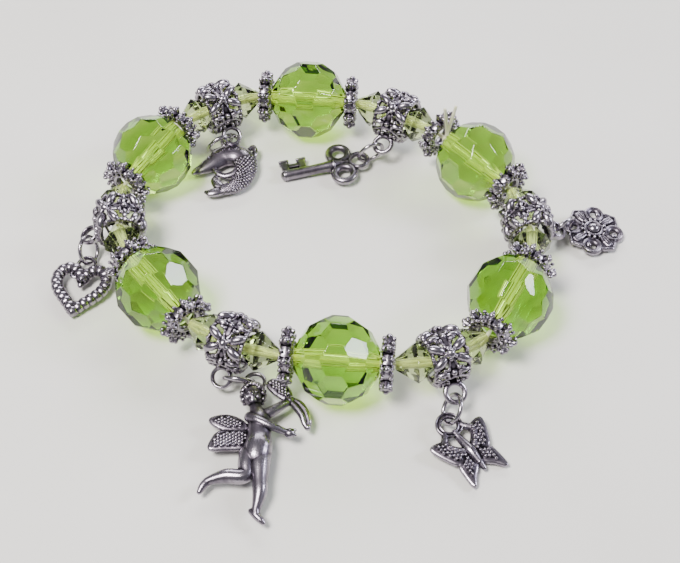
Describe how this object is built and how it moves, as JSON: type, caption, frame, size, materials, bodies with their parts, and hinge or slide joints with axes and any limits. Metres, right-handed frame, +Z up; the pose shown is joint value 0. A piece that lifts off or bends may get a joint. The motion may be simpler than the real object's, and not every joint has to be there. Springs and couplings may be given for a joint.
{
  "type": "stretch charm bracelet",
  "caption": "Stretch charm bracelet of faceted green beads with antique silver spacers, pierced flower beads and hanging cast charms, laid flat in a loop.",
  "frame": {"origin": "on the table, under the middle of the laid bracelet's bounding box", "axes": "+Z up from the table; +Y towards the far side, where the key hangs inside the loop; +X to the right, towards the flower charm"},
  "size_m": [0.1174, 0.108, 0.0181],
  "materials": {
    "green_acrylic": "clear, polished, dyed green",
    "pale_green_acrylic": "clear, polished, pale olive green",
    "antique_silver": "cast, plated, darkened in the recesses",
    "clear_elastic": "smooth, pale, half clear"
  },
  "bodies": {
    "root": {"bicone_after_butterfly": "pale_green_acrylic", "bicone_after_cherub": "pale_green_acrylic", "bicone_after_dolphin": "pale_green_acrylic", "bicone_after_flower": "pale_green_acrylic", "bicone_after_heart": "pale_green_acrylic", "bicone_after_key": "pale_green_acrylic", "bicone_before_butterfly": "pale_green_acrylic", "bicone_before_cherub": "pale_green_acrylic", "bicone_before_dolphin": "pale_green_acrylic", "bicone_before_flower": "pale_green_acrylic", "bicone_before_heart": "pale_green_acrylic", "bicone_before_key": "pale_green_acrylic", "big_bead_1": "green_acrylic", "big_bead_2": "green_acrylic", "big_bead_3": "green_acrylic", "big_bead_4": "green_acrylic", "big_bead_5": "green_acrylic", "big_bead_6": "green_acrylic", "charm_butterfly": "antique_silver", "charm_cherub": "antique_silver", "charm_dolphin": "antique_silver", "charm_flower": "antique_silver", "charm_heart": "antique_silver", "charm_key": "antique_silver", "elastic_cord": "clear_elastic", "flower_bail_butterfly": "antique_silver", "flower_bail_cherub": "antique_silver", "flower_bail_dolphin": "antique_silver", "flower_bail_flower": "antique_silver", "flower_bail_heart": "antique_silver", "flower_bail_key": "antique_silver", "jump_ring_butterfly": "antique_silver", "jump_ring_cherub": "antique_silver", "jump_ring_dolphin": "antique_silver", "jump_ring_flower": "antique_silver", "jump_ring_heart": "antique_silver", "jump_ring_key": "antique_silver", "spacer_1_first": "antique_silver", "spacer_1_second": "antique_silver", "spacer_2_first": "antique_silver", "spacer_2_second": "antique_silver", "spacer_3_first": "antique_silver", "spacer_3_second": "antique_silver", "spacer_4_first": "antique_silver", "spacer_4_second": "antique_silver", "spacer_5_first": "antique_silver", "spacer_5_second": "antique_silver", "spacer_6_first": "antique_silver", "spacer_6_second": "antique_silver"}
  },
  "joints": []
}
